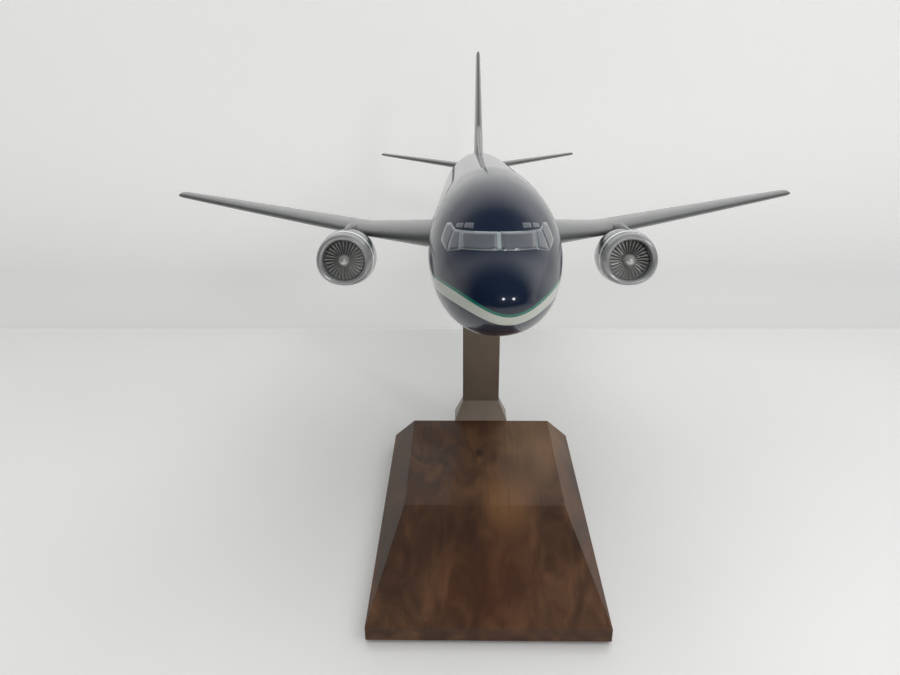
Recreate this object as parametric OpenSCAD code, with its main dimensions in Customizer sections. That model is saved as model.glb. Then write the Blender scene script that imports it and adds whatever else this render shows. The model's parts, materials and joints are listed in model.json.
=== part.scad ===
// Desktop airliner model: a 1:100 twin-engine airliner on a walnut block.
// Millimetres. +Z is up, the nose points along -Y, and the aircraft's own left side is +X.
// The origin is the centre of the block's footprint, on the table.

/* [Block] */
// Width of the wooden block
block_w = 86; // [76:1:110]
// Length of the block, front to back
block_l = 127; // [110:1:150]
// Height of the block's flat top above the table
block_h = 15.5; // [13:0.5:20]
// Height of the top of the upright edge above the table
edge_h = 6.9; // [4:0.1:9]
// How far each side chamfer runs in
chamfer_in = 9.7; // [4:0.1:14]
// How far the front slope runs back
slope_run = 58; // [30:1:80]
// Thickness of the pad under the block
pad_h = 1.4; // [0.8:0.1:2.4]
// How far the pad stands in from the block's edges
pad_inset = 3; // [1:0.5:8]

/* [Strut] */
// Width of the flat bar
strut_w = 18; // [14:0.5:24]
// Thickness of the flat bar
strut_t = 5; // [4:0.5:7]
// Width of the flared foot where it meets the block's top edge
flare_w = 26; // [24:0.5:32]
// Height of the flare above the block's top
flare_h = 8; // [5:0.5:12]
// How far the bar stands back from the block's rear face
strut_back = 3.2; // [2:0.1:5]
// Radius of the boss on top of the bar
boss_r = 5.5; // [5:0.1:7]
// Height of the top of the boss above the table
boss_top = 96; // [94:0.5:97]

/* [Post] */
// Radius of the post that carries the aircraft
post_r = 2.5; // [2:0.1:3]
// Radial clearance of the post in its two bores
post_gap = 0.05; // [0.02:0.01:0.08]
// Radius of the post's collar and its washer
collar_r = 5; // [4.5:0.1:5.4]

/* [Attitude] */
// Nose-up angle of the body axis
nose_up = 8; // [6:0.5:10]
// Height of the body axis above the table at the post
axis_h = 123.6; // [122.8:0.2:125]
// Distance of the post from the tip of the nose, along the body
post_station = 168; // [166:1:170]

/* [Fuselage] */
// Wall thickness of the shell halves
wall = 1.5; // [1.2:0.1:1.8]
// Clearance round everything that passes through the shell
slot_gap = 0.15; // [0.14:0.01:0.18]

/* [Wing] */
// Half of the wing span
half_span = 144.6; // [135:0.2:150]
// Dihedral angle of the wings outboard of the engines
dihedral = 7; // [5:0.5:8]

/* [Engine] */
// Distance of each engine from the middle of the aircraft
engine_x = 54.3; // [52:0.1:56]
// Distance of the inlet lip behind the tip of the nose
engine_y = 109.2; // [107:0.2:112]
// Height of the inlet's centre above the body axis
engine_z = -15.4; // [-16:0.1:-15]
// How far each engine's axis droops towards the rear
engine_droop = 2.5; // [2:0.1:3]
// Radius of the fan at the blade tips
fan_r = 7.7; // [7:0.1:7.7]
// Number of fan blades
fan_blades = 30; // [16:1:32]

/* [Hidden] */

$fn = 64;
hull_fn = 32;
section_cuts = 12;
sliver = 0.05;
fit_gap = 0.05;
big = 400;

// Stand
strut_y = block_l / 2 + strut_back + strut_t / 2;
pad_corner_r = 3;
plate_z = 3;
boss_h = 15;
boss_cone_h = 6;
neck_h = boss_h + 8;
shoulder_h = 4;
bore_depth = 12;
screw_x = 8;
screw_z = 9.2;
screw_shank_r = 1.5;
screw_head_r = 3;
screw_head_h = 2;
screw_bite = 12;
screw_slot_w = 0.7;
screw_slot_h = 0.8;
collar_z = boss_top + fit_gap;
collar_h = 2;
washer_h = 1;
socket_z = collar_z + collar_h + washer_h + fit_gap;
socket_r = 4.5;
socket_flange_r = 6;
socket_flange_h = 1.4;
socket_h = 20;
post_up = 16;
socket_bore = 18;
post_lift = 0.3;
post_tip_h = 0.8;

// Body: distance behind the nose, top, bottom and half width of each frame
body_r = 18.9;
body_top = 21;
body_bottom = -20.6;
tail_start = 212;
tail_end = 321;
body_frames = [
    [0, -6.0, -8.0, 1.0],
    [1, -3.6, -10.3, 4.0],
    [3.5, -1.4, -12.7, 7.2],
    [8, 1.4, -15.6, 10.6],
    [14, 4.6, -17.8, 13.6],
    [20.5, 9.2, -19.0, 15.8],
    [27, 13.6, -19.7, 17.2],
    [35, 17.2, -20.3, 18.3],
    [45, 19.4, body_bottom, 18.8],
    [56, 20.4, body_bottom, body_r],
    [75, body_top, body_bottom, body_r],
    [tail_start, body_top, body_bottom, body_r],
    [235, 20.9, -18.9, 18.4],
    [255, 20.7, -14.8, 16.7],
    [275, 20.2, -9.2, 13.7],
    [295, 19.2, -3.0, 9.7],
    [310, 17.6, 2.8, 6.0],
    [tail_end, 14.6, 8.4, 2.4]
];
shell_first = 2;
shell_last = len(body_frames) - 2;
// Wooden block inside the shell
inner_w = 14;
inner_l = 22;
inner_h = 17;

// Belly fairing: distance behind the nose, half width and half height of each frame
fairing_z = -9.5;
fairing_frames = [
    [100, 8, 4], [106, 13, 8], [116, 17, 11.5], [130, 18.6, 12.8], [166, 18.8, 13],
    [186, 17.4, 12], [200, 13.5, 9], [208, 8, 4.5]
];

// Wing: distance out, distance back, chord and thickness ratio of each section
wing_z = -8.2;
wing_root = [10, 106, 69, 0.15];
wing_side = [19, 112.5, 63, 0.155];
wing_kink = [50, 136, 41, 0.115];
wing_tip = [half_span, 186, 15, 0.17];
spar_y = 142;
spar_r = 1.5;
spar_half = 32;
spar_play = 0.2;

// Tailplane and fin
tail_root = [2.2, 283, 36, 0.11];
tail_tip = [62, 321, 14, 0.12];
tail_z = 10.4;
tail_dihedral = 7;
tail_spar_y = 304;
tail_spar_half = 11;
tail_spar_r = 0.8;
// Fin: height, distance back, chord and thickness ratio of each level section
fin_sections = [[15.5, 258, 60, 0.09], [body_top, 261.5, 57, 0.09], [78.6, 304, 22, 0.1]];
fillet_sections = [[15.5, 222, 60, 0.025], [body_top + 0.2, 226, 60, 0.025], [36, 274, 20, 0.08]];

// Engine, measured back from the inlet lip
cowl_front = 3;
cowl_end = 27.5;
throat_r = 7.9;
lip_front_r = 9;
fan_face = 3.6;
fan_depth = 2.6;
frame_face = 7.6;
frame_depth = 2;
frame_hub_r = 2.4;
pin_r = 0.8;
pin_gap = 0.04;
spinner_r = 2.4;
spinner_len = 2.8;
plug_end = 48;
plug_start = frame_face + frame_depth + fit_gap;
cowl_outline = [
    [cowl_front, 10.5], [7, 11.1], [12, 11.3], [18, 10.8], [23, 9.4], [cowl_end, 7.8]
];
cowl_bore = [
    [cowl_end, 7.3], [23, 8.0], [18, 8.0], [15, throat_r], [6, throat_r], [cowl_front, 8.15]
];
nozzle_outline = [[16, 5.4], [22, 5.9], [28, 5.6], [42, 4]];
nozzle_bore = [[42, 3.5], [28, 4.9], [22, 5.2], [16, 4.7]];

// Half thickness of a section's trailing edge, as a share of the chord
blunt_edge = 0.004;

function wing_height(x) = wing_z + max(0, x - wing_kink[0]) * tan(dihedral);
function tail_height(x) = tail_z + x * tan(tail_dihedral);

// Half thickness of a symmetric wing section of unit chord
function half_thick(t, c) =
    5 * t * (0.2969 * sqrt(c) - 0.126 * c - 0.3516 * c * c
        + 0.2843 * pow(c, 3) - 0.1015 * pow(c, 4)) + blunt_edge;
function cut(i) = (1 - cos(180 * i / section_cuts)) / 2;

// ---------- shared shapes ----------

// Puts a shape drawn in the aircraft's frame (nose tip at zero) on its post
module on_post() {
    translate([0, strut_y - post_station * cos(nose_up), axis_h + post_station * sin(nose_up)])
        rotate([-nose_up, 0, 0])
            children();
}

module on_side(side) {
    if (side > 0) children();
    else mirror([1, 0, 0]) children();
}

// Solid through a row of rings that have the same number of points
module loft(rings) {
    n = len(rings[0]);
    last = len(rings) - 1;
    sides = [
        for (k = [0:last - 1], i = [0:n - 1])
            let (a = k * n + i, b = k * n + (i + 1) % n)
                each [[a, b, a + n], [a + n, b, b + n]]
    ];
    polyhedron(
        points = [for (r = rings) each r],
        faces = concat(
            [[for (i = [n - 1:-1:0]) i]], sides, [[for (i = [0:n - 1]) last * n + i]]
        )
    );
}

// Symmetric wing section as [back, up] points, enlarged all round by grow
function wing_section(chord, ratio, grow) =
    let (
        long = chord + 2 * grow,
        edge = [
            for (i = [0:section_cuts])
                [long * cut(i) - grow, long * half_thick(ratio, cut(i)) + grow]
        ]
    )
    concat(edge, [for (i = [section_cuts:-1:0]) [edge[i][0], -edge[i][1]]]);

// Section of a wing at s = [out, back, chord, ratio] and height z
function span_ring(s, z, grow) =
    [for (p = wing_section(s[2], s[3], grow)) [s[0], s[1] + p[0], z + p[1]]];

module wing_body(grow = 0) {
    loft([
        for (s = [wing_root, wing_side, wing_kink, wing_tip])
            span_ring(s, wing_height(s[0]), grow)
    ]);
}

module tail_body(grow = 0) {
    loft([for (s = [tail_root, tail_tip]) span_ring(s, tail_height(s[0]), grow)]);
}

// Level section of the fin at s = [up, back, chord, ratio]
function fin_ring(s, grow) =
    [for (p = wing_section(s[2], s[3], grow)) [-p[1], s[1] + p[0], s[0]]];

module fin_body(grow = 0) {
    loft([for (s = fin_sections) fin_ring(s, grow)]);
    loft([for (s = fillet_sections) fin_ring(s, grow)]);
}

// Upright ellipse at distance y, from its half width, half height and middle height
function oval_ring(y, half_w, half_h, mid) =
    [for (i = [0:hull_fn - 1])
        [half_w * cos(360 * i / hull_fn), y, mid + half_h * sin(360 * i / hull_fn)]];

module body_loft(first, last, inset) {
    loft([
        for (i = [first:last])
            let (f = body_frames[i])
                oval_ring(f[0], f[3] - inset, (f[1] - f[2]) / 2 - inset, (f[1] + f[2]) / 2)
    ]);
}

module body_solid(grow = 0) {
    body_loft(0, len(body_frames) - 1, -grow);
}

module socket_space(gap) {
    translate([0, strut_y, socket_z - socket_h])
        cylinder(r = socket_flange_r + gap, h = socket_h + socket_flange_h + gap);
    translate([0, strut_y, socket_z])
        cylinder(r = socket_r + gap, h = socket_h + gap);
}

// ---------- stand ----------

module base_block() {
    color("saddlebrown")
        difference() {
            intersection() {
                translate([block_w / 2 + 1, 0, 0])
                    rotate([90, 0, -90])
                        linear_extrude(block_w + 2)
                            polygon([
                                [-block_l / 2, pad_h], [-block_l / 2, block_h],
                                [block_l / 2 - slope_run, block_h], [block_l / 2, edge_h],
                                [block_l / 2, pad_h]
                            ]);
                translate([0, block_l / 2, 0])
                    rotate([90, 0, 0])
                        linear_extrude(block_l)
                            polygon([
                                [-block_w / 2, pad_h], [-block_w / 2, edge_h],
                                [-block_w / 2 + chamfer_in, block_h],
                                [block_w / 2 - chamfer_in, block_h],
                                [block_w / 2, edge_h], [block_w / 2, pad_h]
                            ]);
            }
            for (x = [-screw_x, screw_x])
                translate([x, block_l / 2 - screw_bite - 2, screw_z])
                    rotate([-90, 0, 0])
                        cylinder(r = screw_shank_r, h = screw_bite + 3);
        }
}

// Thin pad with round corners that the block stands on
module base_pad() {
    color("dimgray")
        linear_extrude(pad_h)
            offset(pad_corner_r)
                square(
                    [
                        block_w - 2 * (pad_inset + pad_corner_r),
                        block_l - 2 * (pad_inset + pad_corner_r)
                    ],
                    center = true
                );
}

module stand_strut() {
    front = block_l / 2;
    back = strut_y + strut_t / 2;
    color("#5a4a3c")
        difference() {
            union() {
                // Plate behind the block
                translate([-flare_w / 2, front, plate_z])
                    cube([flare_w, back - front, block_h - plate_z]);
                // Flare from the plate up to the bar
                hull() {
                    translate([-flare_w / 2, front, block_h - sliver])
                        cube([flare_w, back - front, sliver]);
                    translate([-strut_w / 2, strut_y - strut_t / 2, block_h + flare_h])
                        cube([strut_w, strut_t, sliver]);
                }
                // Bar, drawn in at the top to the boss
                translate([0, back, 0])
                    rotate([90, 0, 0])
                        linear_extrude(strut_t)
                            polygon([
                                [-strut_w / 2, block_h + flare_h],
                                [-strut_w / 2, boss_top - neck_h],
                                [-boss_r, boss_top - shoulder_h],
                                [boss_r, boss_top - shoulder_h],
                                [strut_w / 2, boss_top - neck_h],
                                [strut_w / 2, block_h + flare_h]
                            ]);
                translate([0, strut_y, boss_top - boss_h])
                    cylinder(r = boss_r, h = boss_h);
                translate([0, strut_y, boss_top - boss_h - boss_cone_h])
                    cylinder(r1 = strut_t / 2, r2 = boss_r, h = boss_cone_h);
            }
            translate([0, strut_y, boss_top - bore_depth])
                cylinder(r = post_r + post_gap, h = bore_depth + 1);
            for (x = [-screw_x, screw_x])
                translate([x, 0, screw_z])
                    rotate([-90, 0, 0]) {
                        cylinder(r = screw_shank_r + fit_gap, h = back + 1);
                        translate([0, 0, back - screw_head_h])
                            cylinder(
                                r1 = screw_shank_r + fit_gap,
                                r2 = screw_head_r + fit_gap,
                                h = screw_head_h + 0.01
                            );
                    }
        }
}

// Two countersunk wood screws, with a slot in each head
module strut_screws() {
    back = strut_y + strut_t / 2;
    color("silver")
        for (x = [-screw_x, screw_x])
            translate([x, 0, screw_z])
                rotate([-90, 0, 0])
                    difference() {
                        union() {
                            translate([0, 0, block_l / 2 - screw_bite])
                                cylinder(
                                    r = screw_shank_r,
                                    h = back - screw_head_h - block_l / 2 + screw_bite
                                );
                            translate([0, 0, back - screw_head_h])
                                cylinder(
                                    r1 = screw_shank_r,
                                    r2 = screw_head_r,
                                    h = screw_head_h - fit_gap
                                );
                        }
                        translate([-screw_head_r, -screw_slot_w / 2, back - screw_slot_h])
                            cube([2 * screw_head_r, screw_slot_w, 1]);
                    }
}

// ---------- post ----------

module pivot_post() {
    color("lightsteelblue")
        translate([0, strut_y, 0]) {
            translate([0, 0, boss_top - bore_depth + post_lift])
                cylinder(r = post_r, h = collar_z - boss_top + bore_depth);
            translate([0, 0, collar_z])
                cylinder(r = collar_r, h = collar_h);
            translate([0, 0, collar_z + collar_h - sliver])
                cylinder(r = post_r, h = post_up);
            translate([0, 0, collar_z + collar_h - sliver + post_up])
                cylinder(r1 = post_r, r2 = post_r - post_tip_h, h = post_tip_h);
        }
}

module post_washer() {
    color("gray")
        translate([0, strut_y, collar_z + collar_h])
            difference() {
                cylinder(r = collar_r, h = washer_h);
                translate([0, 0, -1])
                    cylinder(r = post_r + fit_gap, h = washer_h + 2);
            }
}

// ---------- body ----------

module body_shell(side) {
    difference() {
        on_post()
            difference() {
                intersection() {
                    body_solid();
                    translate([side > 0 ? 0 : -big, -big / 2, -big / 2])
                        cube([big, 2 * big, big]);
                }
                body_loft(shell_first, shell_last, wall);
                on_side(side)
                    wing_body(slot_gap);
                on_side(side)
                    tail_body(slot_gap);
                fin_body(slot_gap);
            }
        socket_space(slot_gap);
    }
}

module fuselage_left() {
    color("midnightblue") body_shell(1);
}

module fuselage_right() {
    color("midnightblue") body_shell(-1);
}

// Fairing under the wing join
module belly_fairing() {
    color("midnightblue")
        difference() {
            on_post()
                difference() {
                    loft([for (f = fairing_frames) oval_ring(f[0], f[1], f[2], fairing_z)]);
                    body_solid(fit_gap);
                    for (side = [-1, 1])
                        on_side(side)
                            wing_body(slot_gap);
                }
            socket_space(slot_gap);
        }
}

// Solid block inside the shell that holds the post's socket
module socket_block() {
    color("burlywood")
        difference() {
            on_post()
                translate([-inner_w / 2, post_station - inner_l / 2, -inner_h])
                    cube([inner_w, inner_l, inner_h]);
            translate([0, strut_y, socket_z])
                cylinder(r = socket_r, h = 2 * socket_h);
        }
}

module mount_socket() {
    color("goldenrod")
        translate([0, strut_y, socket_z])
            difference() {
                union() {
                    cylinder(r = socket_flange_r, h = socket_flange_h);
                    cylinder(r = socket_r, h = socket_h);
                }
                translate([0, 0, -1])
                    cylinder(r = post_r + post_gap, h = socket_bore + 1);
            }
}

// ---------- wings ----------

module wing(side) {
    color("slategray")
        on_post()
            on_side(side)
                difference() {
                    wing_body();
                    translate([0, spar_y, wing_z])
                        rotate([0, 90, 0])
                            cylinder(r = spar_r + fit_gap, h = spar_half + spar_play);
                }
}

module wing_left() {
    wing(1);
}

module wing_right() {
    wing(-1);
}

module wing_spar() {
    color("silver")
        on_post()
            translate([-spar_half, spar_y, wing_z])
                rotate([0, 90, 0])
                    cylinder(r = spar_r, h = 2 * spar_half);
}

// Spindle fairings under the trailing edge, at [out, back, length]
module flap_fairings(side) {
    places = [[31, 161, 26], [72, 161, 25], [99, 173, 23]];
    drop = 1.9;
    spindle_r = 1.5;
    spindle = [[0, 0], [0.12, 0.6], [0.35, 1], [0.6, 1], [0.85, 0.55], [1, 0]];
    color("slategray")
        on_post()
            on_side(side)
                difference() {
                    for (p = places)
                        translate([p[0], p[1], wing_height(p[0]) - drop])
                            rotate([-92, 0, 0])
                                rotate_extrude()
                                    polygon([for (q = spindle) [q[1] * spindle_r, q[0] * p[2]]]);
                    wing_body(fit_gap);
                }
}

module flap_fairings_left() {
    flap_fairings(1);
}

module flap_fairings_right() {
    flap_fairings(-1);
}

// ---------- engines ----------

// Turns a shape drawn along +Z, front at zero, onto an engine's axis
module on_engine(side) {
    on_post()
        translate([side * engine_x, engine_y, engine_z])
            rotate([-90 - engine_droop, 0, 0])
                children();
}

module turned(outline) {
    rotate_extrude()
        polygon([for (p = outline) [p[1], p[0]]]);
}

module cowl_envelope(gap) {
    turned(concat(
        [[0, 0], [0, lip_front_r + gap]],
        [for (p = cowl_outline) [p[0], p[1] + gap]],
        [[cowl_end, 0]]
    ));
}

module pylon(side) {
    pylon_w = 2.4;
    top = [[113, -5.6], [121, -3.9], [130, -3.8], [138, -4.7], [147, -6.2], [160, -8.2], [170, -8.2]];
    bottom = [[174, -9.4], [162, -12.2], [152, -14.2], [140, -14.2], [135, -18], [113, -18]];
    color("slategray")
        difference() {
            on_post()
                on_side(side)
                    difference() {
                        translate([engine_x - pylon_w / 2, 0, 0])
                            rotate([90, 0, 90])
                                linear_extrude(pylon_w)
                                    polygon(concat(top, bottom));
                        wing_body(fit_gap);
                    }
            on_engine(side)
                cowl_envelope(fit_gap);
            on_engine(side)
                turned(concat(
                    [[nozzle_outline[0][0], 0]],
                    [for (p = nozzle_outline) [p[0], p[1] + fit_gap]],
                    [[nozzle_outline[3][0], 0]]
                ));
        }
}

module pylon_left() {
    pylon(1);
}

module pylon_right() {
    pylon(-1);
}

module nacelle_cowl(side) {
    color("lightslategray")
        on_engine(side)
            turned(concat(cowl_outline, cowl_bore));
}

module nacelle_cowl_left() {
    nacelle_cowl(1);
}

module nacelle_cowl_right() {
    nacelle_cowl(-1);
}

// Rounded metal ring at the front of the cowl
module inlet_lip(side) {
    outer_r = cowl_outline[0][1];
    inner_r = cowl_bore[len(cowl_bore) - 1][1];
    mid_r = (outer_r + inner_r) / 2;
    half_w = (outer_r - inner_r) / 2;
    arc = [for (a = [180:-15:0]) [cowl_front - fit_gap - cowl_front * sin(a), mid_r + half_w * cos(a)]];
    color("silver")
        on_engine(side)
            turned(arc);
}

module inlet_lip_left() {
    inlet_lip(1);
}

module inlet_lip_right() {
    inlet_lip(-1);
}

// Ring of guide vanes behind the fan, with the hub that holds the fan's pin
module fan_frame(side) {
    ring_out = throat_r - fit_gap;
    ring_in = ring_out - 0.7;
    vanes = 12;
    vane_t = 0.5;
    vane_inset = 0.2;
    color("dimgray")
        on_engine(side)
            translate([0, 0, frame_face])
                difference() {
                    union() {
                        cylinder(r = frame_hub_r, h = frame_depth);
                        difference() {
                            cylinder(r = ring_out, h = frame_depth);
                            translate([0, 0, -1])
                                cylinder(r = ring_in, h = frame_depth + 2);
                        }
                        for (i = [0:vanes - 1])
                            rotate([0, 0, i * 360 / vanes])
                                translate([frame_hub_r / 2, -vane_t / 2, vane_inset])
                                    cube([
                                        ring_in - frame_hub_r / 2 + 0.2,
                                        vane_t,
                                        frame_depth - 2 * vane_inset
                                    ]);
                    }
                    translate([0, 0, -1])
                        cylinder(r = pin_r, h = frame_depth + 2);
                }
}

module fan_frame_left() {
    fan_frame(1);
}

module fan_frame_right() {
    fan_frame(-1);
}

module fan_pin(side) {
    pin_front = fan_face - 1;
    color("silver")
        on_engine(side)
            translate([0, 0, pin_front])
                cylinder(r = pin_r, h = frame_face + frame_depth - pin_front);
}

module fan_pin_left() {
    fan_pin(1);
}

module fan_pin_right() {
    fan_pin(-1);
}

// Bladed fan with a rounded spinner, bored for its pin
module fan(side) {
    blade_t = 0.3;
    blade_root = spinner_r - 0.6;
    blade_pitch = 38;
    hub_len = fan_depth + 0.8;
    bore_front = 1.5;
    color("darkgray")
        on_engine(side)
            translate([0, 0, fan_face])
                difference() {
                    union() {
                        rotate_extrude()
                            polygon(concat(
                                [for (a = [0:15:90])
                                    [spinner_r * sin(a), -spinner_len * cos(a)]],
                                [[spinner_r, hub_len], [0, hub_len]]
                            ));
                        for (i = [0:fan_blades - 1])
                            rotate([0, 0, i * 360 / fan_blades])
                                translate([(blade_root + fan_r) / 2, 0, fan_depth / 2])
                                    rotate([blade_pitch, 0, 0])
                                        cube([fan_r - blade_root, blade_t, fan_depth], center = true);
                    }
                    translate([0, 0, -bore_front])
                        cylinder(r = pin_r + pin_gap, h = hub_len + 2 * bore_front);
                }
}

module fan_left() {
    fan(1);
}

module fan_right() {
    fan(-1);
}

module core_nozzle(side) {
    color("gainsboro")
        on_engine(side)
            turned(concat(nozzle_outline, nozzle_bore));
}

module core_nozzle_left() {
    core_nozzle(1);
}

module core_nozzle_right() {
    core_nozzle(-1);
}

// Turned plug that stands in the core exhaust
module exhaust_plug(side) {
    color("gray")
        on_engine(side)
            turned([
                [plug_start, 0], [plug_start, 2], [32, 2], [36, 2.6], [40, 2.7], [44, 1.9],
                [plug_end - 0.4, 0.6], [plug_end, 0]
            ]);
}

module exhaust_plug_left() {
    exhaust_plug(1);
}

module exhaust_plug_right() {
    exhaust_plug(-1);
}

// ---------- tail ----------

module tailplane(side) {
    color("slategray")
        on_post()
            on_side(side)
                difference() {
                    tail_body();
                    translate([0, tail_spar_y, tail_height(tail_spar_half)])
                        rotate([0, 90, 0])
                            cylinder(r = tail_spar_r + fit_gap, h = tail_spar_half + spar_play);
                }
}

module tailplane_left() {
    tailplane(1);
}

module tailplane_right() {
    tailplane(-1);
}

module tailplane_spar() {
    color("silver")
        on_post()
            translate([-tail_spar_half, tail_spar_y, tail_height(tail_spar_half)])
                rotate([0, 90, 0])
                    cylinder(r = tail_spar_r, h = 2 * tail_spar_half);
}

module tail_fin() {
    color("slategray")
        on_post()
            fin_body();
}

base_block();
base_pad();
stand_strut();
strut_screws();
pivot_post();
post_washer();
fuselage_left();
fuselage_right();
belly_fairing();
socket_block();
mount_socket();
wing_left();
wing_right();
wing_spar();
flap_fairings_left();
flap_fairings_right();
pylon_left();
pylon_right();
nacelle_cowl_left();
nacelle_cowl_right();
inlet_lip_left();
inlet_lip_right();
fan_frame_left();
fan_frame_right();
fan_pin_left();
fan_pin_right();
fan_left();
fan_right();
core_nozzle_left();
core_nozzle_right();
exhaust_plug_left();
exhaust_plug_right();
tailplane_left();
tailplane_right();
tailplane_spar();
tail_fin();
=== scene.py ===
"""Looks of the desktop airliner model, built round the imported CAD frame.

Lengths are in millimetres unless a comment says metres; MM turns them into metres. The
aircraft's own frame has its zero at the tip of the nose, +Y aft along the body axis and +Z up.
"""

import json
import math

import bmesh
import bpy
import numpy as np
from mathutils import Matrix, Vector


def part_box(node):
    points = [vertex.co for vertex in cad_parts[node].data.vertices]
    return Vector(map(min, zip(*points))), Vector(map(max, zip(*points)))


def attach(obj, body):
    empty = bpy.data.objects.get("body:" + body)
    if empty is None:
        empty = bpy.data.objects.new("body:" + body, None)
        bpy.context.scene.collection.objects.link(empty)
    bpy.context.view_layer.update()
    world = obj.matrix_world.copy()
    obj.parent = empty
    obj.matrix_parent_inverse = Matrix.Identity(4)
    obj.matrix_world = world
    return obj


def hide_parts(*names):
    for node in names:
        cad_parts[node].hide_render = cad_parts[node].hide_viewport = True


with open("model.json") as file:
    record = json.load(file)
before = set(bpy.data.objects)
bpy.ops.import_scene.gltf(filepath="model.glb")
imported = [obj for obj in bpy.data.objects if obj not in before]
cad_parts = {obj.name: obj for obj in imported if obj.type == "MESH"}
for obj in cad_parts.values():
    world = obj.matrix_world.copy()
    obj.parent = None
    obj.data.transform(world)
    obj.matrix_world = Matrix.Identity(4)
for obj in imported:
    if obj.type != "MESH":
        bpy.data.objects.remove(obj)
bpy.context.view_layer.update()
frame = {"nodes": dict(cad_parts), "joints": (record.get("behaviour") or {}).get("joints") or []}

MM = 0.001
SIDES = ((1, "left"), (-1, "right"))
JOINTS = {j["name"]: j for j in frame["joints"]}

# ---------------------------------------------------------------- attitude

NOSE_UP = math.radians(8)
ENGINE_DROOP = math.radians(2.5)
AXIS_HEIGHT = 123.6
POST_STATION = 168
POST_Y = JOINTS["model_turn"]["pos_m"][1] / MM
BODY = Matrix.Scale(MM, 4) @ Matrix.Translation((
    0,
    POST_Y - POST_STATION * math.cos(NOSE_UP),
    AXIS_HEIGHT + POST_STATION * math.sin(NOSE_UP),
)) @ Matrix.Rotation(-NOSE_UP, 4, "X")
WORLD = Matrix.Scale(MM, 4)

# ---------------------------------------------------------------- node materials


class Nodes:
    """A node tree being built: each call adds one node and returns its output socket."""

    def __init__(self, tree):
        self.tree = tree
        self.tree.nodes.clear()

    def add(self, kind):
        return self.tree.nodes.new("ShaderNode" + kind)

    def feed(self, socket, value):
        if isinstance(value, bpy.types.NodeSocket):
            self.tree.links.new(value, socket)
        elif value is not None:
            socket.default_value = value

    def math(self, operation, a, b=None, c=None):
        node = self.add("Math")
        node.operation = operation
        for socket, value in zip(node.inputs, (a, b, c)):
            self.feed(socket, value)
        return node.outputs[0]

    def length(self, a, b):
        """Length of the vector (a, b)."""
        squares = self.math("MULTIPLY", a, a), self.math("MULTIPLY", b, b)
        return self.math("SQRT", self.math("ADD", *squares))

    def span(self, value, low, high, to_low=0.0, to_high=1.0):
        """Smooth step of value from low to high, as to_low to to_high."""
        node = self.add("MapRange")
        node.interpolation_type = "SMOOTHSTEP"
        for name, v in (("Value", value), ("From Min", low), ("From Max", high),
                        ("To Min", to_low), ("To Max", to_high)):
            self.feed(node.inputs[name], v)
        return node.outputs[0]


class Look(Nodes):
    """The node material of a piece."""

    def __init__(self, name):
        self.material = bpy.data.materials.new(name)
        self.material.use_nodes = True
        super().__init__(self.material.node_tree)
        self.shader = self.add("BsdfPrincipled")
        self.feed(self.add("OutputMaterial").inputs["Surface"], self.shader.outputs["BSDF"])
        self.place = self.add("TexCoord").outputs["Object"]

    def set(self, **values):
        for name, value in values.items():
            self.feed(self.shader.inputs[name.replace("_", " ")], value)

    def xyz(self):
        """The place on the piece as x, y and z, in the piece's own units."""
        node = self.add("SeparateXYZ")
        self.feed(node.inputs[0], self.place)
        return node.outputs

    def scaled(self, scale):
        node = self.add("Mapping")
        self.feed(node.inputs["Vector"], self.place)
        node.inputs["Scale"].default_value = scale
        return node.outputs[0]

    def noise(self, vector, scale, detail, roughness=0.5, distortion=0.0):
        node = self.add("TexNoise")
        self.feed(node.inputs["Vector"], vector)
        node.inputs["Scale"].default_value = scale
        node.inputs["Detail"].default_value = detail
        node.inputs["Roughness"].default_value = roughness
        node.inputs["Distortion"].default_value = distortion
        return node.outputs[0]

    def ramp(self, value, stops):
        node = self.add("ValToRGB")
        self.feed(node.inputs[0], value)
        elements = node.color_ramp.elements
        while len(elements) < len(stops):
            elements.new(0.5)
        for element, (position, colour) in zip(elements, stops):
            element.position = position
            element.color = (*colour, 1)
        return node.outputs[0]

    def mix(self, share, a, b):
        node = self.add("Mix")
        node.data_type = "RGBA"
        self.feed(node.inputs[0], share)
        for socket, value in ((node.inputs[6], a), (node.inputs[7], b)):
            if isinstance(value, tuple) and len(value) == 3:
                value = (*value, 1)
            self.feed(socket, value)
        return node.outputs[2]

    def bump(self, height, strength, distance):
        node = self.add("Bump")
        node.inputs["Strength"].default_value = strength
        node.inputs["Distance"].default_value = distance * MM
        self.feed(node.inputs["Height"], height)
        self.feed(self.shader.inputs["Normal"], node.outputs[0])


def scaled_colour(colour, by):
    return tuple(min(1, c * by) for c in colour)


def srgb(r, g, b):
    """Linear colour of an 0-255 display colour."""
    return tuple(
        c / 12.92 if c <= 0.04045 else ((c + 0.055) / 1.055) ** 2.4
        for c in (r / 255, g / 255, b / 255)
    )


NAVY = (0.006, 0.012, 0.028)
TEAL = srgb(6, 102, 86)
WHITE = srgb(184, 188, 178)
PANE = srgb(86, 90, 96)
PANE_EDGE = srgb(126, 135, 139)
WING_GREY = srgb(90, 93, 92)
FIN_GREY = srgb(104, 106, 105)
PAINT_SPECK = 0.06
METAL_STREAK = 0.12


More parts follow.
